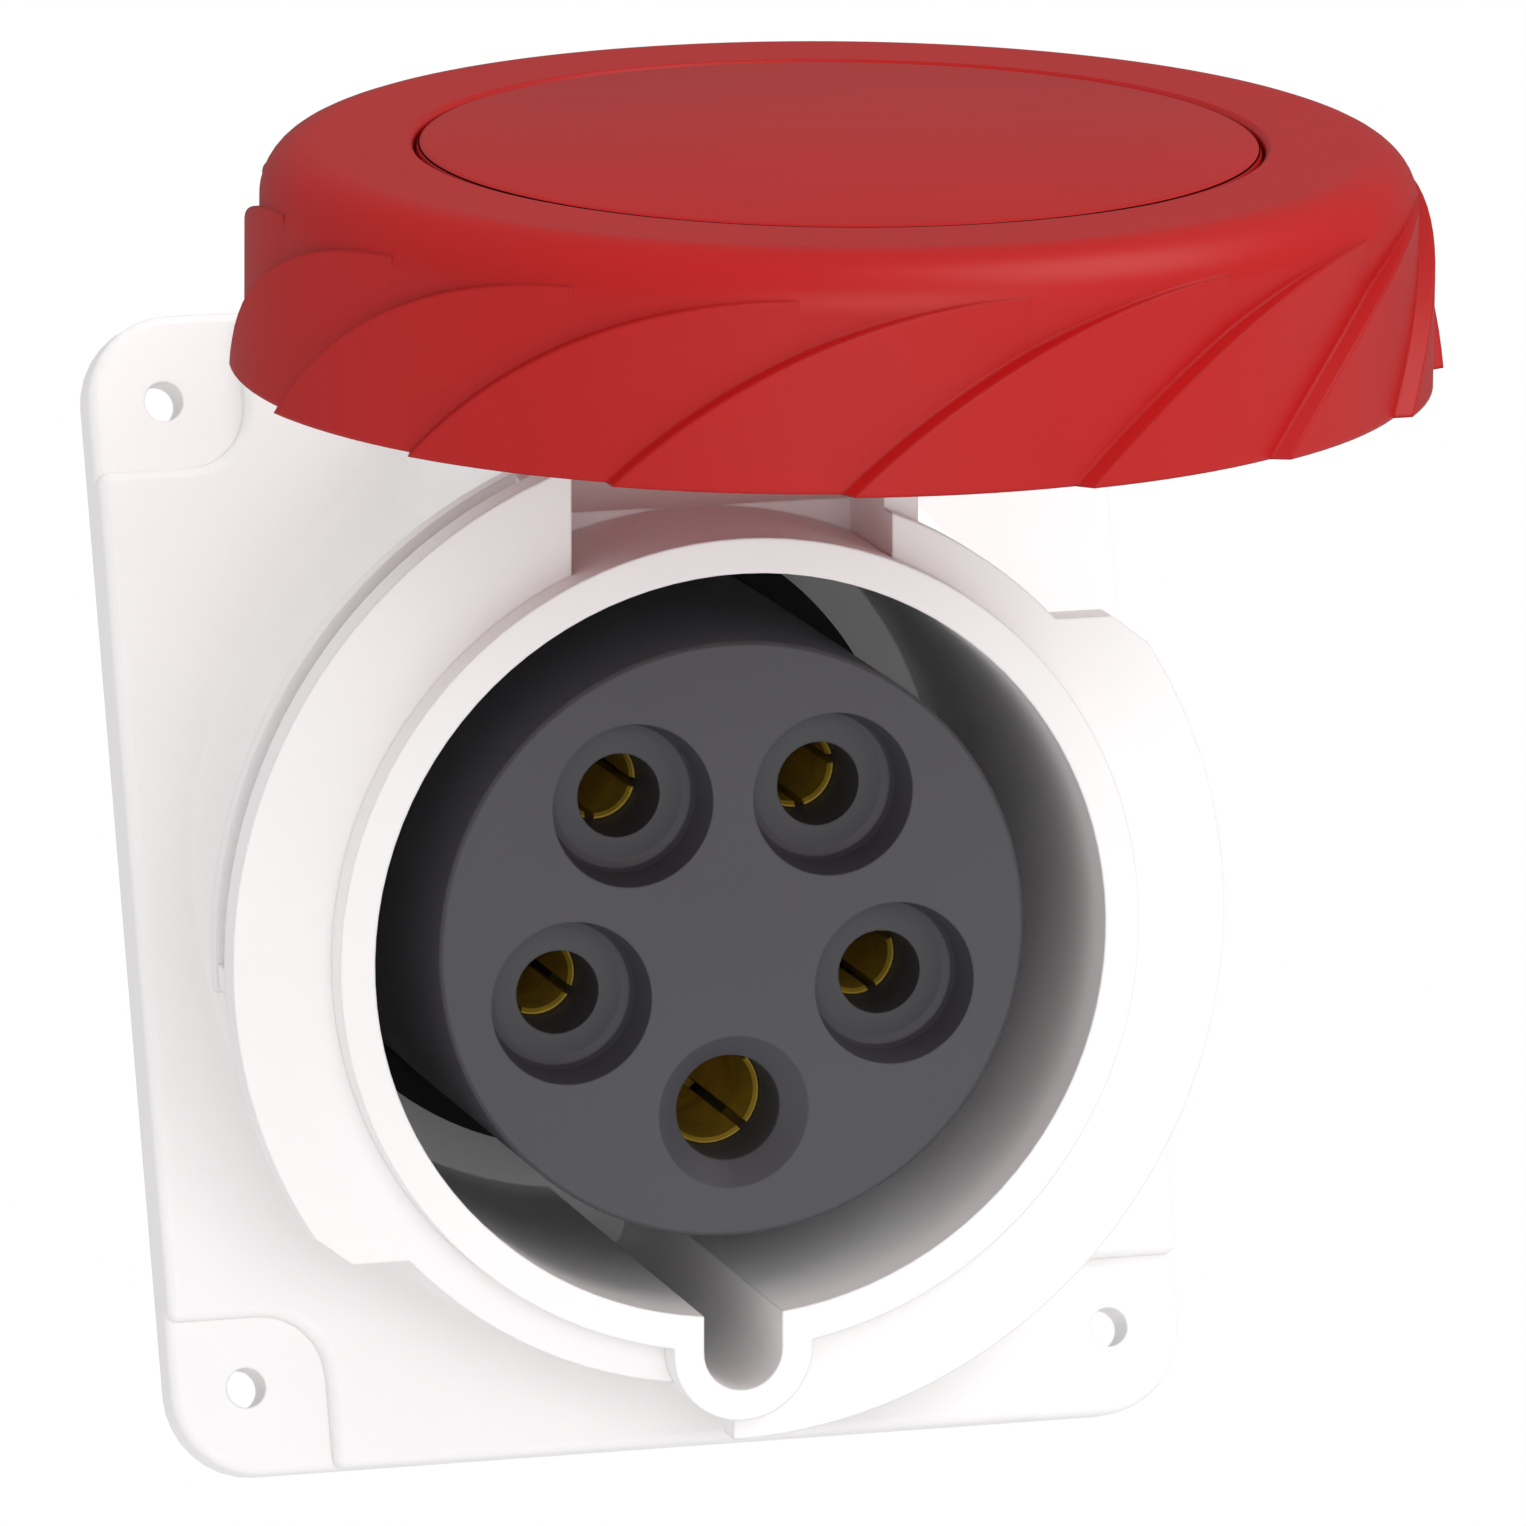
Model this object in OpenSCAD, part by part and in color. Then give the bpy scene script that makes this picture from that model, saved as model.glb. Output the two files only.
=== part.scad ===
// Five-pole industrial panel socket with an angled outlet, a hinged lid and a bayonet ring.
//
// Part frame: X right, Y into the panel, Z up. The origin is the centre of the flange's back face.
// Most pieces are drawn in the socket frame instead: x right, y up, z out of the panel along the
// tilted socket axis, with z = 0 where that axis crosses the flange's back plane.

/* [Flange] */
// Width of the flange
flange_w = 90; // [84:1:110]
// Height of the flange
flange_h = 100; // [97:1:120]
// Thickness of the raised middle of the flange
flange_t = 5.3; // [4.6:0.1:8]
// Corner radius of the flange
flange_corner_r = 7.5; // [5:0.5:12]
// Depth of the recessed corner pads below the raised face
pad_drop = 1.5; // [0.8:0.1:2]
// Side of each corner pad
pad_side = 13.5; // [12:0.5:15]
// Inner corner radius of each pad
pad_inner_r = 5.5; // [3:0.5:7]
// Rounding of the flange's front edges
edge_round = 1.0; // [0.6:0.1:1.2]
// Distance between the fixing holes, across
hole_pitch_w = 77; // [74:0.5:78]
// Distance between the fixing holes, up
hole_pitch_h = 85; // [84:0.5:88]
// Diameter of the fixing holes
hole_d = 3.4; // [3:0.1:5]
// Width of the gasket groove in the flange's back
groove_w = 3.4; // [2.5:0.1:3.6]
// Depth of the gasket groove
groove_depth = 2.0; // [1.2:0.1:2.4]
// Mean radius of the gasket groove
groove_r = 40.5; // [40.4:0.1:41.5]

/* [Socket body] */
// Tilt of the socket axis, downward
tilt = 18; // [15:1:20]
// Height of the socket axis above the flange's centre, at the flange's back
axis_rise = 1; // [0:0.25:2]
// Distance from the flange's back plane to the rim, along the socket axis
rim_reach = 36.5; // [35:0.5:40]
// Depth of the socket, from the rim to the floor
socket_depth = 49.7; // [46:0.1:54]
// Inner radius of the collar
collar_in_r = 32; // [31:0.1:32.2]
// Wall of the collar
collar_wall = 3; // [2.6:0.1:3.1]
// Thickness of the socket's floor
floor_t = 4; // [3:0.5:5]
// Radius of the neck between the flange and the bayonet
neck_r = 36.5; // [36:0.1:38]
// Radius of the hollow blend where the neck meets the flange
neck_fillet = 4.2; // [2:0.1:5]
// Half of the keyway's width
keyway_r = 3.45; // [3:0.05:3.8]
// Wall around the keyway
keyway_wall = 2.65; // [2:0.05:2.7]

/* [Bayonet] */
// How far the collar stands proud of the bayonet lobes
collar_proud = 3; // [2:0.1:4]
// Thickness of the bayonet lobes
lobe_t = 3; // [2.4:0.1:3.4]
// Outer radius of the lobes
lobe_r = 43.5; // [43:0.1:43.8]
// Outer radius between the lobes
lobe_root_r = 38.5; // [38.2:0.1:39]
// Height at which each lobe is cut off
lobe_cut = 26; // [25:0.5:27]
// Gap between the lobes and the ring behind them
lobe_gap = 3.6; // [3.4:0.1:4.4]
// Thickness of the ring behind the lobes
backring_t = 1.8; // [1.2:0.1:2.4]
// Angle that the bayonet ring turns through
ring_turn = 39; // [20:1:39]

/* [Hinge] */
// Height of the hinge pin above the socket axis
hinge_rise = 48.1; // [47.8:0.1:48.6]
// Distance of the hinge pin behind the rim, along the socket axis
hinge_back = 20.3; // [19.8:0.1:21]
// Diameter of the hinge pin
pin_d = 4; // [3:0.1:4.4]
// Running clearance of the lid on its pin, radial
pin_clear = 0.05; // [0.02:0.01:0.1]
// Outer radius of the lid's hinge barrel
barrel_r = 4; // [3.6:0.1:4.1]
// Outer radius of the tower's ears
ear_r = 5.2; // [5:0.1:5.6]
// Thickness of each ear
ear_t = 3; // [2.4:0.1:3.6]
// Width between the ears
notch_w = 28; // [24:0.5:29]
// Angle at which the lid stands open
lid_open = 88; // [60:1:100]

/* [Lid] */
// Distance from the collar's rim to the lid's outer face
lid_proud = 6.5; // [6.2:0.1:8]
// Radius of the disc in the middle of the lid
disc_r = 34.45; // [34:0.05:35]
// Thickness of the lid's disc
disc_t = 1.9; // [1.5:0.1:2.1]
// Outer radius of the inner lid
lid_r = 42.6; // [42.3:0.1:43]
// Thickness of the inner lid
lid_t = 1.5; // [1.2:0.1:1.8]
// Thickness of the lid's gasket
lid_gasket_t = 1.6; // [1.2:0.1:1.8]
// Inner radius of the lid's gasket
lid_gasket_in_r = 29.5; // [28:0.1:30.5]
// Outer radius of the lid's gasket
lid_gasket_r = 37.8; // [36.5:0.1:37.9]
// Space between the closed gasket and the rim
lid_gasket_clear = 0.2; // [0.1:0.05:0.3]
// Pitch radius of the lid's screws
lid_screw_pitch_r = 20; // [14:1:24]
// Number of lid screws
lid_screws_n = 4; // [3:1:6]

/* [Bayonet ring] */
// Height of the ring
ring_h = 18.7; // [18:0.1:20]
// Outer radius of the ring below its petals
ring_r = 47.2; // [47:0.1:48]
// Inner radius of the ring's skirt
ring_in_r = 44.7; // [44.6:0.1:44.9]
// Rounding between the ring's top and side
ring_round = 4.5; // [3:0.1:5]
// Inner radius of the ledge that holds the ring under the disc
ledge_r = 32.2; // [31.8:0.1:32.6]
// Thickness of that ledge
ledge_t = 0.9; // [0.7:0.1:1.1]
// Inner radius of the two locking lugs
lug_in_r = 39.8; // [39.7:0.1:40.4]
// Angle where the first lug begins
lug_start = 43.5; // [43:0.5:45]
// Angle that each lug spans
lug_span = 19; // [10:1:20]
// Number of grip petals
petals_n = 16; // [10:1:18]
// Angle that each petal spans
petal_span = 41; // [30:1:44]
// Height of each petal above the ring's open edge
petal_h = 15.2; // [10:0.1:15.5]
// Height of the thick end of each petal above the ring's side
petal_t = 2.6; // [1.6:0.1:3.2]

/* [Contacts] */
// Radius of the insulating insert
insert_r = 25.65; // [25.2:0.05:26]
// Distance of the insert's face behind the rim
insert_recess = 2.8; // [2:0.1:4]
// Pitch radius of the contacts
contact_pitch_r = 14.9; // [14.6:0.1:15.1]
// Diameter of the phase and neutral pins
phase_pin_d = 6; // [5:0.5:6.5]
// Diameter of the earth pin
earth_pin_d = 8; // [7:0.5:8.5]
// Play of a pin in its opened sleeve, radial
pin_play = 0.05; // [0.03:0.01:0.1]
// Wall of each sleeve
sleeve_wall = 1.1; // [0.9:0.05:1.2]
// Radius of the openings for the phase and neutral pins
phase_hole_r = 3.6; // [3.4:0.05:3.8]
// Radius of the opening for the earth pin
earth_hole_r = 4.55; // [4.4:0.05:4.8]
// Radius of the recess around each phase opening
recess_r = 7; // [6.4:0.1:7.2]
// Depth of that recess
recess_depth = 4.6; // [3.6:0.1:5.5]
// Depth of the phase sleeves behind the insert's face
phase_depth = 12; // [10:0.5:15]
// Depth of the earth sleeve behind the insert's face
earth_depth = 8; // [6:0.5:10]
// Length of the sleeves' bores
sleeve_bore = 24; // [20:0.5:26]
// Width of the slits between a sleeve's tongues
slit_w = 0.8; // [0.5:0.1:1]
// Thickness of the steel ring around a sleeve
spring_t = 0.5; // [0.3:0.05:0.6]
// Width of that ring
spring_w = 5; // [3:0.5:7]

/* [Terminals] */
// Thickness of the carrier's and the terminal block's flanges
rear_flange_t = 3.5; // [3:0.1:4.5]
// Radius of those flanges
rear_flange_r = 30.7; // [30:0.1:31]
// Depth of the skirt behind the floor
rear_skirt = 5; // [3:0.5:7]
// Radius of the terminal block
block_r = 25.5; // [24.5:0.1:26]
// Length of the terminal block behind its flange
block_len = 17; // [15:0.5:22]
// Radius of the terminals
terminal_r = 4.7; // [4.4:0.1:4.9]
// Radius of a terminal's wire hole
wire_r = 2.6; // [2.2:0.1:2.8]
// Diameter of the terminal screws
clamp_screw_d = 4; // [3:0.5:4.5]
// Diameter of the carrier screws
carrier_screw_d = 3; // [2.5:0.1:3.2]
// Number of carrier screws
carrier_screws_n = 3; // [3:1:4]

/* [Hidden] */
$fn = 96;

// Clearances
fit = 0.1;           // between pieces that are put together by hand
gap = 0.3;           // between moving pieces
face_gap = 0.2;      // between moving flat faces
sink = 0.5;          // overlap between shapes that are fused

// Levels along the socket axis
rim_z = rim_reach;
lobe_z = rim_z - collar_proud - lobe_t;
backring_z = lobe_z - lobe_gap - backring_t;
face_z = rim_z - insert_recess;
floor_z = rim_z - socket_depth;
floor_back_z = floor_z - floor_t;
carrier_back_z = floor_back_z - rear_flange_t;
block_front_z = carrier_back_z - rear_flange_t;
block_back_z = block_front_z - block_len;
skirt_z = floor_back_z - rear_skirt;

// Radii around the socket axis
collar_r = collar_in_r + collar_wall;
keyway_y = -collar_r;
keyway_out_r = keyway_r + keyway_wall;
seal_r = insert_r + 2.45;
floor_hole_r = insert_r + 0.8;
carrier_screw_pitch_r = (rear_flange_r + block_r) / 2 - 0.05;
nose_len = 1.5;       // of each sleeve, guided by the hole in front of it

// Hinge
hinge_y = hinge_rise;
hinge_z = rim_z - hinge_back;
pocket_z = hinge_z - 1;
pocket_round = 6;
tower_w = notch_w + 2 * ear_t;
tower_top = hinge_y * cos(tilt) - hinge_z * sin(tilt) + axis_rise + ear_r - 0.3;
arm_w = notch_w - 2 * (gap + 0.2);

// Lid, closed
lid_face_z = rim_z + lid_proud;
disc_z = lid_face_z - disc_t;
gasket_z = rim_z + lid_gasket_clear;
lid_under_z = gasket_z + lid_gasket_t;
lid_top_z = lid_under_z + lid_t;
ring_z = lid_face_z - ring_h;
ring_flange_z = lid_top_z + face_gap;
ledge_z = ring_flange_z + ledge_t;
lid_web_t = 2;
lid_web_z = disc_z - lid_web_t;
boss_r = 2.8;        // bosses under the disc, which take the lid's screws
lid_screw_d = 2.5;

// Bayonet: where the ring's lugs stop, and the band behind each lobe
stop_angle = lug_start - ring_turn - 0.4;
rib_span = 3;
backring_end = 109;
lug_top_z = lobe_z - face_gap;
lug_t = 3.2;

// Grip petals: each thins out along the ring, from petal_t to petal_end_t
petal_end_t = 0.15;
petal_lean = 50;
petal_turn = 6.3;
petal_off = (petal_t - petal_end_t) / (cos(petal_lean) - cos(petal_lean + petal_span));
petal_r = ring_r + petal_t - petal_off * cos(petal_lean);
petal_reach = (ring_r + 1) * sin(petal_span);
sweep_r = (pow(petal_reach, 2) + pow(petal_h, 2)) / (2 * petal_h);

// The gasket groove is a ring with straight sides between two centres
groove_top = 2.5;
groove_bottom = -3.5;

// Terminals
seat_t = 1.5;
clamp_z = block_front_z - block_len * 0.55;
clamp_screw_len = 6.5;
terminal_z = block_back_z + 2;

// Contacts: name, angle around the socket axis, earth or not
contact_step = 72;
earth_angle = -90;
l1_angle = earth_angle - contact_step;
l2_angle = l1_angle - contact_step;
l3_angle = l2_angle - contact_step;
neutral_angle = l3_angle - contact_step;
contact_angles = [l1_angle, l2_angle, l3_angle, neutral_angle, earth_angle];

plastic = "#e9e7e6";
red = "#b01818";
dark = "#4f4e52";
rubber = "#1c1c1e";
brass = "#a08a3c";
steel = "#b8bcc0";

// ---------------------------------------------------------------- frames

module in_socket() {
    translate([0, 0, axis_rise]) rotate([tilt, 0, 0]) rotate([90, 0, 0]) children();
}

// Puts a closed lid's piece where the open lid stands
module open_lid() {
    in_socket()
        translate([0, hinge_y, hinge_z])
            rotate([-lid_open, 0, 0])
                translate([0, -hinge_y, -hinge_z]) children();
}

// Extrudes a side view, drawn in the socket frame's y and z, across x
module along_x(width) {
    rotate([90, 0, 90]) linear_extrude(width, center = true) children();
}

// A cylinder between two levels
module level_cylinder(radius, low, high) {
    translate([0, 0, low]) cylinder(r = radius, h = high - low);
}

// A tube between two levels
module level_tube(outer, inner, low, high) {
    difference() {
        level_cylinder(outer, low, high);
        level_cylinder(inner, low - sink, high + sink);
    }
}

module at_contact(angle) {
    rotate([0, 0, angle]) translate([contact_pitch_r, 0, 0]) children();
}

// ---------------------------------------------------------------- housing

// A rectangle with round corners
module round_rect(width, height, radius) {
    square([width - 2 * radius, height], center = true);
    square([width, height - 2 * radius], center = true);
    for (sx = [-1, 1], sy = [-1, 1])
        translate([sx * (width / 2 - radius), sy * (height / 2 - radius)]) circle(radius, $fn = 32);
}

// The flange's raised middle: a rectangle with a rounded bite at each corner
module raised_outline() {
    bite = pad_side + edge_round;
    difference() {
        square([flange_w - 2 * edge_round, flange_h - 2 * edge_round], center = true);
        for (sx = [-1, 1], sy = [-1, 1])
            translate([sx * (flange_w / 2), sy * (flange_h / 2)])
                round_rect(2 * bite, 2 * bite, pad_inner_r + edge_round);
    }
}

// A slab whose front edges are rounded; its back lies in the plane Y = 0
module rounded_slab(thickness) {
    intersection() {
        minkowski() {
            rotate([90, 0, 0]) linear_extrude(thickness - edge_round) children();
            sphere(edge_round, $fn = 16);
        }
        translate([-flange_w, -2 * flange_t, -flange_h])
            cube([2 * flange_w, 2 * flange_t, 2 * flange_h]);
    }
}

module flange() {
    rounded_slab(flange_t - pad_drop)
        round_rect(flange_w - 2 * edge_round, flange_h - 2 * edge_round, flange_corner_r - edge_round);
    rounded_slab(flange_t) raised_outline();
}

function smooth_max(a, b, p) = pow(pow(a, p) + pow(b, p), 1 / p);
function smooth_min(a, b, p) = pow(pow(a, -p) + pow(b, -p), -1 / p);

// Height above the flange's face -> height of the socket axis there
function axis_at(h) = axis_rise - (flange_t + h) * tan(tilt);

// Radius of the tilted neck, cut parallel to the flange
function neck_radius(a) =
    neck_r / sqrt(pow(cos(a), 2) + pow(sin(a) * cos(tilt), 2));

// Radius of the hinge tower, which rises from the neck's upper side
function tower_radius(a, zc) =
    sin(a) <= 0.05 ? 0.001
    : smooth_min(tower_w / 2 / max(abs(cos(a)), 0.001), (tower_top - zc) / sin(a), 24);

// Hollow blend at the foot of the neck, by the angle on its arc; it starts as a short straight slope
fillet_steps = [15, 30, 45, 60, 75, 90];
function fillet_height(k) = neck_fillet * (1 - cos(k));
function foot(h) =
    h >= neck_fillet ? 0
    : h < 0 ? neck_fillet * (1 - sin(15)) + (fillet_height(15) - h) / tan(22.5)
    : neck_fillet - sqrt(pow(neck_fillet, 2) - pow(neck_fillet - h, 2));

function neck_point(a, h) =
    let (
        zc = axis_at(h),
        r = smooth_max(neck_radius(a), tower_radius(a, zc), 12) + foot(h),
        top = (flange_h / 2 - edge_round - zc) / max(sin(a), 0.01)
    )
    [min(r, top) * cos(a), -flange_t - h, min(r, top) * sin(a) + zc];

// The neck and the hinge tower as one loft, from the flange's face outward
module neck_loft() {
    heights = concat([-sink], [for (k = fillet_steps) fillet_height(k)], [12, 36]);
    angles = concat([for (a = [0:3.75:180]) a], [for (a = [187.5:7.5:359]) a]);
    n = len(angles);
    last = len(heights) - 1;
    points = [for (h = heights, a = angles) neck_point(a, h)];
    sides = [
        for (k = [0:last - 1], i = [0:n - 1])
            let (a = k * n + i, b = k * n + (i + 1) % n)
            each [[a, a + n, b], [b, a + n, b + n]]
    ];
    caps = [[for (i = [0:n - 1]) i], [for (i = [n - 1:-1:0]) last * n + i]];
    polyhedron(points, concat(sides, caps), convexity = 6);
}

// Side view that limits the neck and the tower: the ears end in a round around the pin
module tower_side() {
    translate([0, -80]) square([hinge_y, 80 + hinge_z + ear_r]);
    translate([0, -80]) square([80, 80 + hinge_z]);
    translate([hinge_y, hinge_z]) circle(ear_r);
}

module neck() {
    intersection() {
        neck_loft();
        in_socket() union() {
            level_cylinder(lobe_r + 1, -80, backring_z + sink);
            along_x(tower_w + 4) tower_side();
        }
    }
}

// One bayonet lobe: the half ring right of the axis, below the cut, with chamfered ends
module lobe() {
    chamfer = 2.5;
    cut_x = sqrt(pow(lobe_r, 2) - pow(lobe_cut, 2));
    translate([0, 0, lobe_z]) intersection() {
        cylinder(r = lobe_r, h = lobe_t);
        linear_extrude(lobe_t) polygon([
            [0, 0], [0, -lobe_r - 1], [lobe_r + 1, -lobe_r - 1], [lobe_r + 1, lobe_cut - 2 * chamfer],
            [cut_x + chamfer * 0.7, lobe_cut - chamfer], [cut_x - chamfer * 0.6, lobe_cut], [0, lobe_cut]
        ]);
    }
}

// A piece of a ring between two angles
module ring_sector(inner, outer, low, high, from, to) {
    rotate([0, 0, from]) rotate_extrude(angle = to - from)
        translate([inner, low]) square([outer - inner, high - low]);
}

module bayonet() {
    for (turn = [0, 180]) rotate([0, 0, turn]) {
        lobe();
        ring_sector(collar_in_r + 1, lobe_r - 0.2, backring_z, backring_z + backring_t,
                    backring_end - 180, stop_angle + 0.3);
        ring_sector(collar_in_r + 1, lobe_r - 0.4, backring_z + backring_t / 2, lobe_z + sink,
                    stop_angle - rib_span, stop_angle);
    }
    level_cylinder(lobe_root_r, lobe_z, lobe_z + lobe_t);
}

// Walls on both sides of the arm's pocket, from the lobes back to the ears
module cheeks() {
    web_y = lobe_root_r + 1.9;
    intersection() {
        level_cylinder(lobe_root_r, 0, lobe_z + sink);
        translate([-tower_w / 2, 0, 0]) cube([tower_w, 60, rim_z]);
    }
    along_x(tower_w) polygon([
        [collar_r - sink, lobe_z + sink], [lobe_root_r - 0.4, lobe_z + sink], [web_y, hinge_z + 8.4],
        [hinge_y - 3, hinge_z + ear_r - 1], [hinge_y - 3, hinge_z], [collar_r - sink, hinge_z]
    ]);
}

module collar() {
    level_cylinder(collar_r, skirt_z, rim_z);
    translate([0, keyway_y, 0]) level_cylinder(keyway_out_r, rim_z / 2, rim_z);
    translate([0, keyway_y, 0]) level_cylinder(keyway_out_r - 0.7, floor_back_z, rim_z / 2 + sink);
}

module collar_hollow() {
    level_cylinder(collar_in_r, floor_z, rim_z + sink);
    level_cylinder(floor_hole_r, floor_back_z - sink, floor_z + sink);
    level_cylinder(rear_flange_r + fit, skirt_z - sink, floor_back_z);
    translate([0, keyway_y, 0]) level_cylinder(keyway_r, floor_z, rim_z + sink);
    translate([-keyway_r, keyway_y, floor_z]) cube([2 * keyway_r, -keyway_y / 2, rim_z + sink - floor_z]);
}

// The space for the lid's arm between the ears; its floor is the collar's outside
module arm_pocket() {
    difference() {
        along_x(notch_w) {
            translate([0, pocket_z + pocket_round]) square([80, 60]);
            translate([collar_r + pocket_round, pocket_z]) square([80, 60]);
            translate([collar_r + pocket_round, pocket_z + pocket_round]) circle(pocket_round);
        }
        level_cylinder(collar_r, -80, 80);
    }
    translate([0, hinge_y, hinge_z]) rotate([0, 90, 0])
        cylinder(r = barrel_r + gap + 0.2, h = notch_w, center = true);
}

module at_carrier_screws() {
    for (k = [0:carrier_screws_n - 1])
        rotate([0, 0, 90 + 360 / carrier_screws_n * k]) translate([carrier_screw_pitch_r, 0, 0]) children();
}

module at_fixing_holes() {
    for (sx = [-1, 1], sz = [-1, 1])
        translate([sx * hole_pitch_w / 2, 0, sz * hole_pitch_h / 2]) children();
}

// A ring with straight sides in the flange's back, seen as its section in radius and depth
module oval_ring(inner, outer, depth) {
    rotate([90, 0, 0]) difference() {
        union() {
            for (y = [groove_top, groove_bottom]) translate([0, y, 0]) cylinder(r = outer, h = depth);
            translate([-outer, groove_bottom, 0]) cube([2 * outer, groove_top - groove_bottom, depth]);
        }
        for (y = [groove_top, groove_bottom]) translate([0, y, -1]) cylinder(r = inner, h = depth + 2);
        translate([-inner, groove_bottom, -1]) cube([2 * inner, groove_top - groove_bottom, depth + 2]);
    }
}

module socket_housing() color(plastic) difference() {
    union() {
        flange();
        neck();
        in_socket() {
            collar();
            bayonet();
            cheeks();
        }
    }
    in_socket() {
        collar_hollow();
        arm_pocket();
        translate([0, hinge_y, hinge_z]) rotate([0, 90, 0])
            cylinder(d = pin_d, h = tower_w + 2, center = true);
        at_carrier_screws() level_cylinder(carrier_screw_d / 2, floor_back_z - sink, floor_z - 1);
    }
    at_fixing_holes() rotate([90, 0, 0]) translate([0, 0, -1]) cylinder(d = hole_d, h = flange_t + 2);
    oval_ring(groove_r - groove_w / 2, groove_r + groove_w / 2, groove_depth);
}

module panel_gasket() color(rubber)
    oval_ring(groove_r - groove_w / 2 + fit, groove_r + groove_w / 2 - fit, groove_depth);

module hinge_pin() color(steel) in_socket()
    translate([0, hinge_y, hinge_z]) rotate([0, 90, 0])
        cylinder(d = pin_d, h = tower_w, center = true);

// ---------------------------------------------------------------- insert, contacts, terminals

function is_earth(a) = a == earth_angle;
function bore_r(a) = (is_earth(a) ? earth_pin_d : phase_pin_d) / 2 + pin_play;
function sleeve_r(a) = bore_r(a) + sleeve_wall;
function chamber_r(a) = sleeve_r(a) + spring_t + 0.15;
function mouth_z(a) = face_z - (is_earth(a) ? earth_depth : phase_depth);
function seat_r(a) = chamber_r(a) + 0.8;
function hole_r(a) = is_earth(a) ? earth_hole_r : phase_hole_r;

// A recess with a tapered wall, a crease and a floor that slopes up to it
module phase_recess() {
    wall_depth = recess_depth - 0.9;
    rotate_extrude() polygon([
        [0, sink], [recess_r, sink], [recess_r, 0], [recess_r - 0.5, -wall_depth],
        [recess_r - 0.77, -wall_depth - 0.64], [recess_r - 1.4, -recess_depth], [0, -recess_depth]
    ]);
}

module earth_recess() {
    depth = 1.9;
    rotate_extrude() polygon([[0, sink], [recess_r - 0.4, sink], [recess_r - 0.4, 0],
                              [earth_hole_r, -depth], [0, -depth]]);
}

module contact_carrier() color(dark) in_socket() difference() {
    union() {
        level_cylinder(insert_r, carrier_back_z, face_z - 0.3);
        translate([0, 0, face_z - 0.3]) cylinder(r1 = insert_r, r2 = insert_r - 0.3, h = 0.3);
        level_cylinder(rear_flange_r, carrier_back_z, floor_back_z);
    }
    for (a = contact_angles) at_contact(a) {
        level_cylinder(hole_r(a), mouth_z(a) - nose_len - sink, face_z + sink);
        level_cylinder(chamber_r(a), carrier_back_z - sink, mouth_z(a) - nose_len + fit);
        translate([0, 0, face_z]) {
            if (is_earth(a)) earth_recess();
            else phase_recess();
        }
    }
    at_carrier_screws()
        level_cylinder(carrier_screw_d / 2 + fit, carrier_back_z - sink, floor_back_z + sink);
}

// A lip on the socket's floor and a collar in the gap around the insert
module carrier_seal() color(rubber) in_socket() {
    level_tube(seal_r, insert_r + 0.05, floor_z + 0.02, floor_z + 1.2);
    level_tube(floor_hole_r - 0.05, insert_r + 0.05, floor_z - 2.5, floor_z + 0.03);
}

module contact(a) {
    color(brass) in_socket() at_contact(a) difference() {
        union() {
            level_cylinder(sleeve_r(a), carrier_back_z, mouth_z(a) - nose_len);
            level_cylinder(hole_r(a) - fit, mouth_z(a) - nose_len - sink, mouth_z(a));
            level_cylinder(seat_r(a), carrier_back_z - seat_t, carrier_back_z);
            level_cylinder(terminal_r, terminal_z, carrier_back_z);
        }
        level_cylinder(bore_r(a), mouth_z(a) - sleeve_bore, mouth_z(a) + sink);
        translate([0, 0, mouth_z(a) - 0.3]) cylinder(r1 = bore_r(a), r2 = bore_r(a) + 0.4, h = 0.4);
        for (turn = [0, 90]) rotate([0, 0, turn + 45])
            translate([-10, -slit_w / 2, mouth_z(a) - sleeve_bore * 0.75])
                cube([20, slit_w, sleeve_bore]);
        level_cylinder(wire_r, terminal_z - sink, block_front_z - 1);
        translate([0, 0, clamp_z]) rotate([0, 90, 0]) cylinder(d = clamp_screw_d, h = terminal_r + 1);
    }
}

module spring_ring(a) {
    low = mouth_z(a) - 3 - spring_w;
    color(steel) in_socket() at_contact(a) difference() {
        level_tube(sleeve_r(a) + spring_t, sleeve_r(a) + 0.02, low, low + spring_w);
        translate([0, -0.6, low - 1]) cube([10, 1.2, spring_w + 2]);
    }
}

module terminal_block() color(dark) in_socket() difference() {
    union() {
        level_cylinder(rear_flange_r, block_front_z, carrier_back_z);
        level_cylinder(block_r, block_back_z, carrier_back_z);
    }
    for (a = contact_angles) at_contact(a) {
        level_cylinder(seat_r(a) + fit, carrier_back_z - seat_t, carrier_back_z + sink);
        level_cylinder(terminal_r + fit, terminal_z - fit, carrier_back_z);
        level_cylinder(wire_r + 0.6, block_back_z - sink, terminal_z);
        translate([0, 0, clamp_z]) rotate([0, 90, 0]) cylinder(r = clamp_screw_d / 2 + 1, h = 20);
    }
    at_carrier_screws()
        level_cylinder(carrier_screw_d / 2 + fit, block_front_z - sink, carrier_back_z + sink);
}

// A screw with a pan head and a cross recess; its head sits at z = 0 and its shank points up
module pan_screw(d, length, head_r, head_t) {
    difference() {
        union() {
            translate([0, 0, -head_t]) cylinder(r = head_r, h = head_t);
            cylinder(d = d, h = length);
        }
        for (turn = [0, 90]) rotate([0, 0, turn])
            translate([-head_r * 0.6, -head_r * 0.13, -head_t - 1])
                cube([head_r * 1.2, head_r * 0.26, 1 + head_t * 0.55]);
    }
}

module carrier_screws() color(steel) in_socket() at_carrier_screws()
    translate([0, 0, block_front_z])
        pan_screw(carrier_screw_d, floor_z - 1.4 - block_front_z, 2.4, 1.8);

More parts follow.
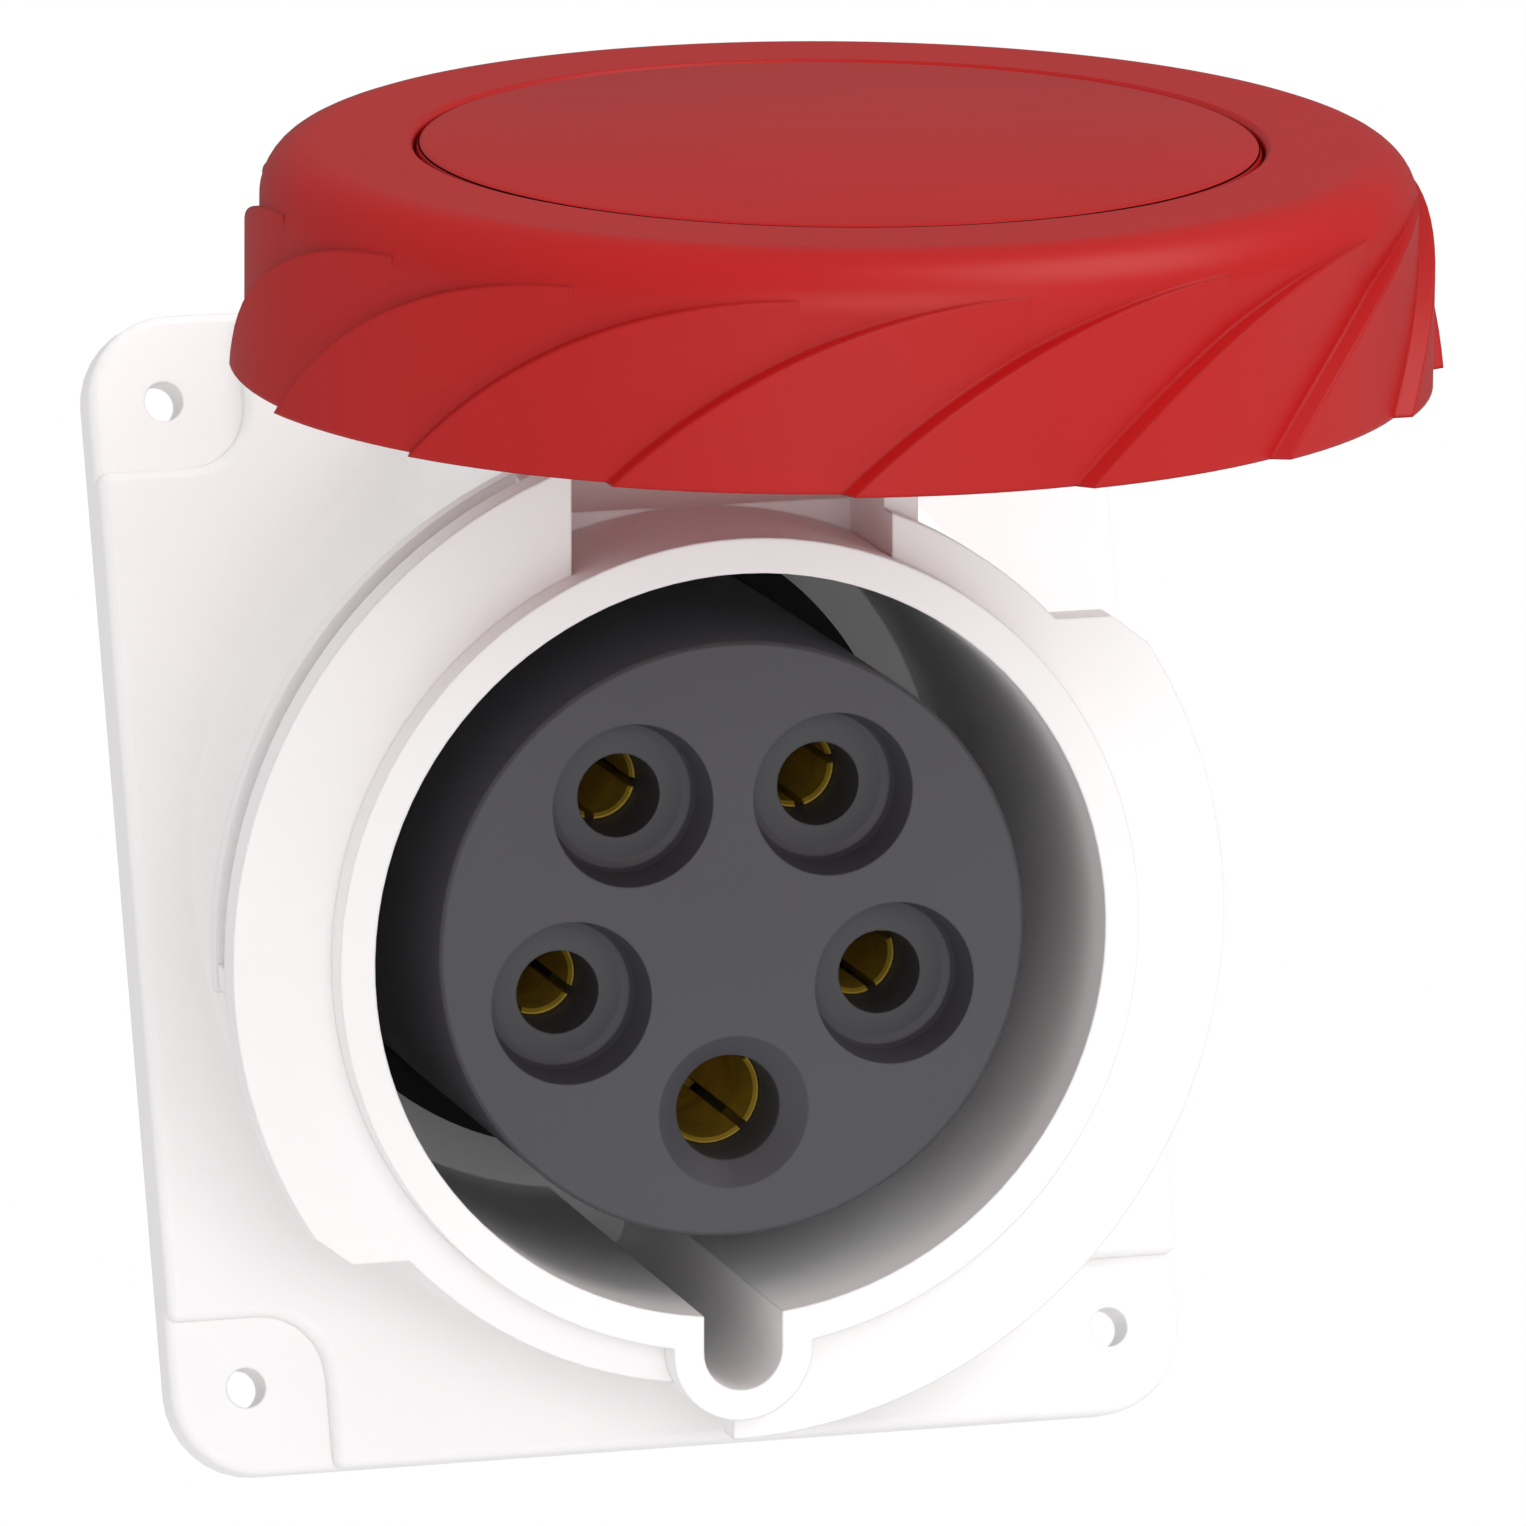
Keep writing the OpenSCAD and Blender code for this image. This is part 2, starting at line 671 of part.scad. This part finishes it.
module terminal_screws() color(steel) in_socket()
    for (a = contact_angles) at_contact(a) translate([0, 0, clamp_z]) rotate([0, 90, 0]) {
        difference() {
            translate([0, 0, wire_r + fit]) cylinder(d = clamp_screw_d, h = clamp_screw_len);
            translate([-clamp_screw_d, -0.4, wire_r + clamp_screw_len - 1]) cube([2 * clamp_screw_d, 0.8, 3]);
        }
    }

// ---------------------------------------------------------------- lid and bayonet ring

// Side view of the hinge arm, closed
module arm_side() {
    root_y = lobe_root_r;
    arm_y = ring_in_r - 0.5;
    polygon([
        [root_y, lid_top_z], [root_y, hinge_z + 8.8], [hinge_y - barrel_r, hinge_z], [hinge_y, hinge_z],
        [hinge_y, hinge_z + barrel_r], [arm_y, ring_z - gap - 0.1], [arm_y, lid_top_z]
    ]);
    translate([hinge_y, hinge_z]) circle(barrel_r);
}

module hinge_arm() {
    intersection() {
        along_x(arm_w) arm_side();
        union() {
            level_cylinder(ring_in_r - 0.5, ring_z - 1, lid_face_z);
            translate([-arm_w, 0, -80]) cube([2 * arm_w, 80, 80 + ring_z - gap]);
        }
    }
}

module at_lid_screws() {
    for (k = [0:lid_screws_n - 1])
        rotate([0, 0, 45 + 360 / lid_screws_n * k]) translate([lid_screw_pitch_r, 0, 0]) children();
}

module lid_body() color(red) open_lid() difference() {
    union() {
        level_cylinder(lid_r, lid_under_z, lid_top_z);
        level_cylinder(ledge_r - gap, lid_web_z, disc_z);
        level_tube(lid_r, lid_gasket_r + fit, gasket_z + 0.5, lid_under_z + sink);
        hinge_arm();
    }
    level_cylinder(lid_gasket_in_r - 0.5, lid_under_z - sink, lid_web_z);
    at_lid_screws() level_cylinder(boss_r + fit, lid_web_z - sink, disc_z + sink);
    translate([0, hinge_y, hinge_z]) rotate([0, 90, 0])
        cylinder(r = pin_d / 2 + pin_clear, h = arm_w + 2, center = true);
}

module lid_gasket() color(rubber) open_lid()
    level_tube(lid_gasket_r, lid_gasket_in_r, gasket_z, lid_under_z);

module lid_disc() color(red) open_lid() difference() {
    union() {
        level_cylinder(disc_r, disc_z, lid_face_z - 0.4);
        translate([0, 0, lid_face_z - 0.4]) cylinder(r1 = disc_r, r2 = disc_r - 0.4, h = 0.4);
        at_lid_screws() level_cylinder(boss_r, lid_web_z + 0.05, disc_z + sink);
    }
    at_lid_screws() level_cylinder(lid_screw_d / 2, lid_web_z - sink, lid_face_z - 0.7);
}

module lid_screws() color(steel) open_lid() at_lid_screws()
    translate([0, 0, lid_web_z]) pan_screw(lid_screw_d, lid_face_z - 0.8 - lid_web_z, 3.6, 1.5);

// One grip petal. An off-centre cylinder makes it thin out along the ring, a level cylinder
// that points outward gives its swept upper edge, and it ends in a short step.
module petal() {
    far = 2 * ring_r;
    intersection() {
        rotate([0, 0, -petal_lean]) translate([petal_off, 0, 0])
            level_cylinder(petal_r, ring_z - 1, ring_z + petal_h + 1);
        translate([0, 0, ring_z - 2]) linear_extrude(petal_h + 4)
            polygon([[0, 0], [far, 0], [far, far * tan(petal_span / 2)],
                     [far * cos(petal_span), far * sin(petal_span)]]);
        rotate([0, 0, petal_span]) translate([0, 0, ring_z + petal_h - sweep_r])
            rotate([0, 90, 0]) cylinder(r = sweep_r, h = far, $fn = 180);
    }
}

module ring_outside() {
    corner_r = ring_r - ring_round;
    corner_z = lid_face_z - ring_round;
    rotate_extrude() union() {
        translate([0, ring_z - 2]) square([ring_r, corner_z - ring_z + 2]);
        translate([0, ring_z + 1]) square([corner_r, ring_h - 1]);
        translate([corner_r, corner_z]) circle(ring_round);
    }
}

module ring_hollow() {
    rotate_extrude() polygon([
        [0, ring_z - 5], [ring_in_r, ring_z - 5], [ring_in_r, ring_flange_z], [ledge_r, ring_flange_z],
        [ledge_r, ledge_z], [disc_r + gap, ledge_z], [disc_r + gap, lid_face_z - 0.4],
        [disc_r + gap + 0.4, lid_face_z], [disc_r + gap + 0.4, lid_face_z + 1], [0, lid_face_z + 1]
    ]);
}

module bayonet_ring() color(red) open_lid() {
    difference() {
        union() {
            ring_outside();
            for (k = [0:petals_n - 1]) rotate([0, 0, -90 + petal_turn + 360 / petals_n * k]) petal();
        }
        ring_hollow();
        level_cylinder(2 * ring_r, ring_z - 5, ring_z);
    }
    for (turn = [0, 180])
        ring_sector(lug_in_r, ring_in_r + 0.6, lug_top_z - lug_t, lug_top_z,
                    turn + lug_start, turn + lug_start + lug_span);
}

// ---------------------------------------------------------------- the nodes

socket_housing();
panel_gasket();
contact_carrier();
carrier_seal();
terminal_block();
contact(l1_angle);  // contact_l1
contact(l2_angle);  // contact_l2
contact(l3_angle);  // contact_l3
contact(neutral_angle);  // contact_neutral
contact(earth_angle);  // contact_earth
spring_ring(l1_angle);  // spring_ring_l1
spring_ring(l2_angle);  // spring_ring_l2
spring_ring(l3_angle);  // spring_ring_l3
spring_ring(neutral_angle);  // spring_ring_neutral
spring_ring(earth_angle);  // spring_ring_earth
terminal_screws();
carrier_screws();
hinge_pin();
lid_body();
lid_disc();
lid_screws();
lid_gasket();
bayonet_ring();
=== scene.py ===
"""Industrial panel socket: finishes, smoothed mouldings, studio stage and camera.

Laid out as a Blender add-on and run as a script. Everything is in metres, in the frame of the
construction model: X right, Y into the panel, Z up, origin in the middle of the flange's back.
"""

import math

import bpy
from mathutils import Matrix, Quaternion, Vector


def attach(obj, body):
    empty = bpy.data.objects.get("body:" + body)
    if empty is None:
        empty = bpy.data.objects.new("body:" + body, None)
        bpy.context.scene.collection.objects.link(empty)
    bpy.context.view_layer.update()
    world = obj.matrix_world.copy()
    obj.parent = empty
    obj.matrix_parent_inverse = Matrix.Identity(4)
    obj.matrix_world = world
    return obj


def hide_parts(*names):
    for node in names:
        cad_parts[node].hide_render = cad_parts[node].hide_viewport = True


bl_info = {
    "name": "Industrial panel socket",
    "version": (1, 0, 0),
    "blender": (4, 5, 0),
    "location": "3D View > Sidebar > Panel socket",
    "description": "Dresses the panel socket: mouldings, metals, seals, stage and camera",
    "category": "Object",
}

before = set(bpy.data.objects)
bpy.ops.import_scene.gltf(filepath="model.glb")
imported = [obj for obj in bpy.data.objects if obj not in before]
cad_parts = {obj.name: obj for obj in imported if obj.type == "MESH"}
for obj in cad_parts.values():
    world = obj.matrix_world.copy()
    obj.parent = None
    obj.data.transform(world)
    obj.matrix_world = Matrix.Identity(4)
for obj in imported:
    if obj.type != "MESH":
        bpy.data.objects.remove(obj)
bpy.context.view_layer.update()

MM = 0.001


# ---------------------------------------------------------------- settings


class MouldingSettings(bpy.types.PropertyGroup):
    """Colours and surface of the plastic mouldings and the rubber seals"""

    housing_colour: bpy.props.StringProperty(
        name="Housing", description="sRGB colour of the pale grey housing", default="#F3F1F1"
    )
    red_colour: bpy.props.StringProperty(
        name="Red", description="sRGB colour of the lid and the bayonet ring", default="#AC1010"
    )
    insert_colour: bpy.props.StringProperty(
        name="Insert", description="sRGB colour of the insulating insert", default="#434247"
    )
    rubber_colour: bpy.props.StringProperty(
        name="Rubber", description="sRGB colour of the seals", default="#1A1A1C"
    )
    grain: bpy.props.FloatProperty(
        name="Grain", description="Size of the moulds' fine spark grain",
        default=0.35 * MM, min=0.05 * MM, max=2 * MM, unit="LENGTH",
    )
    grain_depth: bpy.props.FloatProperty(
        name="Grain depth", description="Depth of the spark grain",
        default=0.004 * MM, min=0.0, max=0.1 * MM, unit="LENGTH",
    )
    edge_radius: bpy.props.FloatProperty(
        name="Edge radius", description="Rounding that light catches on moulded edges",
        default=0.35 * MM, min=0.0, max=1.0 * MM, unit="LENGTH",
    )


class MetalSettings(bpy.types.PropertyGroup):
    """Colours and surface of the brass and steel pieces"""

    brass_colour: bpy.props.StringProperty(
        name="Brass", description="sRGB colour of the turned brass", default="#D0AE38"
    )
    steel_colour: bpy.props.StringProperty(
        name="Steel", description="sRGB colour of the spring steel", default="#9C9EA2"
    )
    zinc_colour: bpy.props.StringProperty(
        name="Zinc", description="sRGB colour of the zinc plating", default="#C6CACD"
    )
    turning_pitch: bpy.props.FloatProperty(
        name="Turning pitch", description="Feed marks' distance on turned brass",
        default=0.25 * MM, min=0.05 * MM, max=1.0 * MM, unit="LENGTH",
    )


class StageSettings(bpy.types.PropertyGroup):
    """Floor, lamps, surroundings and camera"""

    floor_drop: bpy.props.FloatProperty(
        name="Floor drop", description="Height of the socket's centre above the floor",
        default=0.30, min=0.1, max=1.0, unit="LENGTH",
    )
    floor_size: bpy.props.FloatProperty(
        name="Floor size", description="Side of the floor", default=8.0, min=1.0, max=20.0, unit="LENGTH",
    )
    surroundings: bpy.props.FloatProperty(
        name="Surroundings", description="Strength of the light from all around",
        default=0.9, min=0.0, max=2.0,
    )
    reflections: bpy.props.FloatProperty(
        name="Reflections", description="Strength of the surroundings in reflections",
        default=0.22, min=0.0, max=2.0,
    )
    key_power: bpy.props.FloatProperty(
        name="Key lamp", description="Power of the large soft lamp", default=5.8, min=0.0, max=50.0,
        subtype="POWER",
    )
    fill_power: bpy.props.FloatProperty(
        name="Fill lamp", description="Power of the low soft lamp", default=5.0, min=0.0, max=50.0,
        subtype="POWER",
    )
    camera_place: bpy.props.FloatVectorProperty(
        name="Camera", description="Place of the camera", default=(-0.3426, -1.2529, -0.1199),
        subtype="TRANSLATION", unit="LENGTH",
    )
    camera_target: bpy.props.FloatVectorProperty(
        name="Target", description="Point in the middle of the view",
        default=(0.01182, -0.00419, 0.00828), subtype="TRANSLATION", unit="LENGTH",
    )
    camera_roll: bpy.props.FloatProperty(
        name="Roll", description="Turn of the camera about its line of sight",
        default=math.radians(-5.0), subtype="ANGLE",
    )
    camera_lens: bpy.props.FloatProperty(
        name="Lens", description="Focal length in millimetres", default=355.9, min=50.0, max=800.0,
    )


# ---------------------------------------------------------------- materials


def linear(colour):
    """An sRGB hex colour as linear red, green, blue and alpha."""
    channels = [int(colour[i : i + 2], 16) / 255 for i in (1, 3, 5)]
    return [c / 12.92 if c <= 0.04045 else ((c + 0.055) / 1.055) ** 2.4 for c in channels] + [1.0]


def shade(colour, factor):
    """The sRGB hex colour made lighter or darker by a factor."""
    return "#" + "".join(
        f"{min(255, round(int(colour[i : i + 2], 16) * factor)):02X}" for i in (1, 3, 5)
    )


def add_node(tree, kind, inputs=None, **settings):
    """Adds a node with its settings, and its inputs as values or as other nodes' outputs."""
    made = tree.nodes.new(kind)
    for name, value in settings.items():
        setattr(made, name, value)
    for name, value in (inputs or {}).items():
        socket = made.inputs[name]
        if isinstance(value, bpy.types.NodeSocket):
            tree.links.new(value, socket)
        else:
            socket.default_value = value
    return made


def new_material(name):
    """An empty node material and its tree."""
    made = bpy.data.materials.new(name)
    made.use_nodes = True
    made.node_tree.nodes.clear()
    return made, made.node_tree


def moulded(name, colour, roughness, ior, grain, grain_depth, edge_radius, mottle=0.03, sheen=0.5):
    """A moulded plastic or rubber: even colour with a faint flow mottle, and the mould's spark grain."""
    made, tree = new_material(name)
    place = add_node(tree, "ShaderNodeTexCoord").outputs["Object"]
    flow = add_node(
        tree, "ShaderNodeTexNoise", {"Vector": place, "Scale": 1 / (22 * MM), "Detail": 3.0, "Roughness": 0.5}
    )
    ramp = add_node(tree, "ShaderNodeValToRGB", {"Fac": flow.outputs["Fac"]})
    ramp.color_ramp.elements[0].position, ramp.color_ramp.elements[1].position = 0.35, 0.65
    ramp.color_ramp.elements[0].color = linear(shade(colour, 1 - mottle))
    ramp.color_ramp.elements[1].color = linear(colour)
    edges = add_node(tree, "ShaderNodeBevel", {"Radius": edge_radius}, samples=6)
    spark = add_node(
        tree, "ShaderNodeTexNoise", {"Vector": place, "Scale": 1 / grain, "Detail": 2.0, "Roughness": 0.55}
    )
    relief = add_node(
        tree, "ShaderNodeBump",
        {"Height": spark.outputs["Fac"], "Distance": grain_depth, "Strength": 1.0, "Normal": edges.outputs["Normal"]},
    )
    surface = add_node(
        tree, "ShaderNodeBsdfPrincipled",
        {"Base Color": ramp.outputs["Color"], "Roughness": roughness, "IOR": ior, "Specular IOR Level": sheen,
         "Normal": relief.outputs["Normal"]},
    )
    add_node(tree, "ShaderNodeOutputMaterial", {"Surface": surface.outputs["BSDF"]})
    return made


def metal(name, colour, roughness, marks_scale, marks_depth, marks_along, edge_radius, metallic=1.0):
    """A bare or plated metal with fine marks from how it was made, drawn along one direction."""
    made, tree = new_material(name)
    place = add_node(tree, "ShaderNodeTexCoord").outputs["Object"]
    turned = add_node(
        tree, "ShaderNodeMapping", {"Vector": place, "Scale": marks_along}
    )
    marks = add_node(
        tree, "ShaderNodeTexNoise",
        {"Vector": turned.outputs["Vector"], "Scale": marks_scale, "Detail": 3.0, "Roughness": 0.6},
    )
    patina = add_node(
        tree, "ShaderNodeTexNoise", {"Vector": place, "Scale": 1 / (3 * MM), "Detail": 2.0}
    )
    ramp = add_node(tree, "ShaderNodeValToRGB", {"Fac": patina.outputs["Fac"]})
    ramp.color_ramp.elements[0].position, ramp.color_ramp.elements[1].position = 0.3, 0.7
    ramp.color_ramp.elements[0].color = linear(shade(colour, 0.85))
    ramp.color_ramp.elements[1].color = linear(colour)
    edges = add_node(tree, "ShaderNodeBevel", {"Radius": edge_radius}, samples=4)
    relief = add_node(
        tree, "ShaderNodeBump",
        {"Height": marks.outputs["Fac"], "Distance": marks_depth, "Normal": edges.outputs["Normal"]},
    )
    surface = add_node(
        tree, "ShaderNodeBsdfPrincipled",
        {"Base Color": ramp.outputs["Color"], "Metallic": metallic, "Roughness": roughness,
         "Normal": relief.outputs["Normal"]},
    )
    add_node(tree, "ShaderNodeOutputMaterial", {"Surface": surface.outputs["BSDF"]})
    return made


# ---------------------------------------------------------------- pieces


def dress(node, material):
    """Gives a construction node its finish."""
    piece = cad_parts[node]
    piece.data.materials.clear()
    piece.data.materials.append(material)
    return piece


def rounded_copy(node, name, body, material, radius):
    """A copy of a node whose facets are merged and whose sharp edges are rounded; it stands for the node."""
    bpy.ops.object.select_all(action="DESELECT")
    piece = bpy.data.objects.new(name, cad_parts[node].data.copy())
    bpy.context.scene.collection.objects.link(piece)
    piece.select_set(True)
    bpy.context.view_layer.objects.active = piece
    bpy.ops.object.mode_set(mode="EDIT")
    bpy.ops.mesh.select_all(action="SELECT")
    bpy.ops.mesh.remove_doubles(threshold=0.002 * MM)
    bpy.ops.mesh.dissolve_limited(angle_limit=math.radians(0.3))
    bpy.ops.object.mode_set(mode="OBJECT")
    edge = piece.modifiers.new("edge_rounding", "BEVEL")
    edge.width, edge.segments = radius, 2
    edge.limit_method, edge.angle_limit = "ANGLE", math.radians(28)
    edge.miter_outer, edge.use_clamp_overlap = "MITER_SHARP", False
    bpy.ops.object.modifier_apply(modifier=edge.name)
    bpy.ops.object.shade_smooth_by_angle(angle=math.radians(40))
    piece.data.materials.clear()
    piece.data.materials.append(material)
    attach(piece, body)
    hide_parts(node)
    return piece


def finish_done(count):
    """Stops the script if an operator dressed nothing."""
    if not count:
        raise RuntimeError("no piece was dressed")
    return {"FINISHED"}


class SOCKET_OT_housing(bpy.types.Operator):
    """Dresses the pale grey housing, moulded in one piece"""

    bl_idname = "panel_socket.housing"
    bl_label = "Housing"

    def execute(self, context):
        s = context.scene.socket_mouldings
        # Light grey polycarbonate, injection moulded: even, matt to satin, fine spark-eroded grain
        grey = moulded(
            "polycarbonate_light_grey_moulded", s.housing_colour, 0.5, 1.58, s.grain, s.grain_depth,
            s.edge_radius, mottle=0.008,
        )
        return finish_done(len([dress("socket_housing", grey)]))


class SOCKET_OT_insert(bpy.types.Operator):
    """Dresses the insulating insert and the terminal block behind it"""

    bl_idname = "panel_socket.insert"
    bl_label = "Insert and terminal block"

    def execute(self, context):
        s = context.scene.socket_mouldings
        # Dark grey glass-filled polyamide, injection moulded: matt
        dark = moulded(
            "polyamide_dark_grey_moulded", s.insert_colour, 0.55, 1.53, s.grain, s.grain_depth,
            0.8 * s.edge_radius, mottle=0.03,
        )
        return finish_done(len([dress(n, dark) for n in ("contact_carrier", "terminal_block")]))


class SOCKET_OT_seals(bpy.types.Operator):
    """Dresses the black rubber seals"""

    bl_idname = "panel_socket.seals"
    bl_label = "Seals"

    def execute(self, context):
        s = context.scene.socket_mouldings
        # Nitrile rubber, compression moulded: black and matt
        rubber = moulded(
            "nitrile_rubber_black_moulded", s.rubber_colour, 0.75, 1.5, s.grain, 2 * s.grain_depth,
            0.5 * s.edge_radius, mottle=0.06,
        )
        return finish_done(len([dress(n, rubber) for n in ("panel_gasket", "carrier_seal", "lid_gasket")]))


class SOCKET_OT_contacts(bpy.types.Operator):
    """Dresses the brass sleeves and the steel rings around them"""

    bl_idname = "panel_socket.contacts"
    bl_label = "Contacts"

    def execute(self, context):
        s = context.scene.socket_metals
        # Brass, turned: warm dark gold, with feed marks around each sleeve
        brass = metal(
            "brass_turned", s.brass_colour, 0.38, 1 / s.turning_pitch, 0.004 * MM, (0.05, 1.0, 0.3), 0.1 * MM,
            metallic=0.5,
        )
        # Spring steel strip, rolled: cool grey with lengthwise rolling marks
        steel = metal(
            "spring_steel_rolled", s.steel_colour, 0.35, 1 / (0.3 * MM), 0.003 * MM, (0.2, 1.0, 0.2), 0.08 * MM
        )
        sleeves = [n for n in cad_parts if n.startswith("contact_") and n != "contact_carrier"]
        rings = [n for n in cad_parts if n.startswith("spring_ring_")]
        for n in sleeves:
            dress(n, brass)
        for n in rings:
            dress(n, steel)
        return finish_done(len(sleeves) + len(rings))


class SOCKET_OT_fasteners(bpy.types.Operator):
    """Dresses the screws and the hinge pin"""

    bl_idname = "panel_socket.fasteners"
    bl_label = "Screws and hinge pin"

    def execute(self, context):
        s = context.scene.socket_metals
        # Zinc-plated steel: bright bluish grey, slightly cloudy
        zinc = metal("steel_zinc_plated", s.zinc_colour, 0.3, 1 / (0.4 * MM), 0.003 * MM, (1, 1, 1), 0.12 * MM)
        names = ("terminal_screws", "carrier_screws", "hinge_pin", "lid_screws")
        return finish_done(len([dress(n, zinc) for n in names]))


class SOCKET_OT_lid(bpy.types.Operator):
    """Dresses the lid's red mouldings: inner lid, disc and bayonet ring"""

    bl_idname = "panel_socket.lid"
    bl_label = "Lid and bayonet ring"

    def execute(self, context):
        s = context.scene.socket_mouldings
        # Red polyamide, injection moulded: satin, with a soft sheen at grazing light
        red = moulded(
            "polyamide_red_moulded", s.red_colour, 0.4, 1.53, s.grain, s.grain_depth, 1.2 * s.edge_radius,
            mottle=0.02, sheen=0.25,
        )
        rounded_copy("lid_disc", "lid_disc_moulding", "lid", red, s.edge_radius)
        return finish_done(len([dress(n, red) for n in ("lid_body", "bayonet_ring")]))


class SOCKET_OT_stage(bpy.types.Operator):
    """Builds the floor, the lamps, the surroundings and the camera"""

    bl_idname = "panel_socket.stage"
    bl_label = "Stage and camera"

    def execute(self, context):
        s = context.scene.socket_stage
        bpy.ops.object.select_all(action="DESELECT")
        bpy.ops.mesh.primitive_plane_add(size=s.floor_size, location=(0, 0, -s.floor_drop))
        floor = context.object
        floor.name = "studio_floor"
        paper, tree = new_material("paper_white_matt")
        ray = add_node(tree, "ShaderNodeLightPath")
        body = add_node(tree, "ShaderNodeBsdfDiffuse", {"Color": linear("#E8E8E8")})
        glow = add_node(tree, "ShaderNodeEmission", {"Color": linear("#FFFFFF"), "Strength": 1.0})
        seen = add_node(
            tree, "ShaderNodeMath",
            {0: ray.outputs["Is Camera Ray"], 1: 0.35}, operation="MULTIPLY",
        )
        mix = add_node(
            tree, "ShaderNodeMixShader", {0: seen.outputs[0], 1: body.outputs[0], 2: glow.outputs[0]}
        )
        add_node(tree, "ShaderNodeOutputMaterial", {"Surface": mix.outputs[0]})
        floor.data.materials.append(paper)

        world = bpy.data.worlds.new("studio_surroundings")
        context.scene.world = world
        world.use_nodes = True
        tree = world.node_tree
        tree.nodes.clear()
        ray = add_node(tree, "ShaderNodeLightPath")
        seen = add_node(
            tree, "ShaderNodeMath", {0: ray.outputs["Is Camera Ray"], 1: ray.outputs["Is Transmission Ray"]},
            operation="MAXIMUM",
        )
        soft = add_node(
            tree, "ShaderNodeBackground", {"Color": linear("#FFFFFF"), "Strength": s.surroundings}
        )
        dim = add_node(
            tree, "ShaderNodeBackground", {"Color": linear("#FFFFFF"), "Strength": s.reflections}
        )
        lit = add_node(
            tree, "ShaderNodeMixShader", {0: ray.outputs["Is Glossy Ray"], 1: soft.outputs[0], 2: dim.outputs[0]}
        )
        white = add_node(tree, "ShaderNodeBackground", {"Color": linear("#FFFFFF"), "Strength": 1.0})
        mix = add_node(
            tree, "ShaderNodeMixShader", {0: seen.outputs[0], 1: lit.outputs[0], 2: white.outputs[0]}
        )
        add_node(tree, "ShaderNodeOutputWorld", {"Surface": mix.outputs[0]})

        for name, place, size, power in (
            ("key_softbox", (0.55, -0.75, 0.75), 0.8, s.key_power),
            ("fill_softbox", (-0.1, -1.15, -0.2), 0.8, s.fill_power),
        ):
            bpy.ops.object.light_add(type="AREA", location=place)
            lamp = context.object
            lamp.name = name
            lamp.data.size = size
            lamp.data.energy = power
            lamp.rotation_euler = (-Vector(place)).to_track_quat("-Z", "Y").to_euler()

        camera = bpy.data.objects.new("camera", bpy.data.cameras.new("camera"))
        context.scene.collection.objects.link(camera)
        camera.location = s.camera_place
        look = Vector(s.camera_target) - Vector(s.camera_place)
        turn = look.to_track_quat("-Z", "Y") @ Quaternion((0, 0, 1), s.camera_roll)
        camera.rotation_euler = turn.to_euler()
        camera.data.lens = s.camera_lens
        camera.data.sensor_width = 36.0
        camera.data.clip_start, camera.data.clip_end = 0.05, 50.0
        context.scene.camera = camera
        context.scene.view_settings.view_transform = "Standard"
        return {"FINISHED"}


class SOCKET_PT_panel(bpy.types.Panel):
    """Lists the socket's operators and settings in the 3D view's sidebar"""

    bl_idname = "SOCKET_PT_panel"
    bl_label = "Panel socket"
    bl_space_type = "VIEW_3D"
    bl_region_type = "UI"
    bl_category = "Panel socket"

    def draw(self, context):
        for operator in OPERATORS:
            self.layout.operator(operator.bl_idname)
        for group in ("socket_mouldings", "socket_metals", "socket_stage"):
            settings = getattr(context.scene, group)
            for name in settings.bl_rna.properties.keys()[1:]:
                self.layout.prop(settings, name)


OPERATORS = (
    SOCKET_OT_stage, SOCKET_OT_housing, SOCKET_OT_insert, SOCKET_OT_seals, SOCKET_OT_contacts,
    SOCKET_OT_fasteners, SOCKET_OT_lid,
)
CLASSES = (MouldingSettings, MetalSettings, StageSettings, *OPERATORS, SOCKET_PT_panel)


def register():
    for c in CLASSES:
        bpy.utils.register_class(c)
    bpy.types.Scene.socket_mouldings = bpy.props.PointerProperty(type=MouldingSettings)
    bpy.types.Scene.socket_metals = bpy.props.PointerProperty(type=MetalSettings)
    bpy.types.Scene.socket_stage = bpy.props.PointerProperty(type=StageSettings)


def unregister():
    del bpy.types.Scene.socket_mouldings, bpy.types.Scene.socket_metals, bpy.types.Scene.socket_stage
    for c in reversed(CLASSES):
        bpy.utils.unregister_class(c)


def main():
    register()
    for operator in OPERATORS:
        group, name = operator.bl_idname.split(".")
        getattr(getattr(bpy.ops, group), name)()


if __name__ == "__main__":
    main()
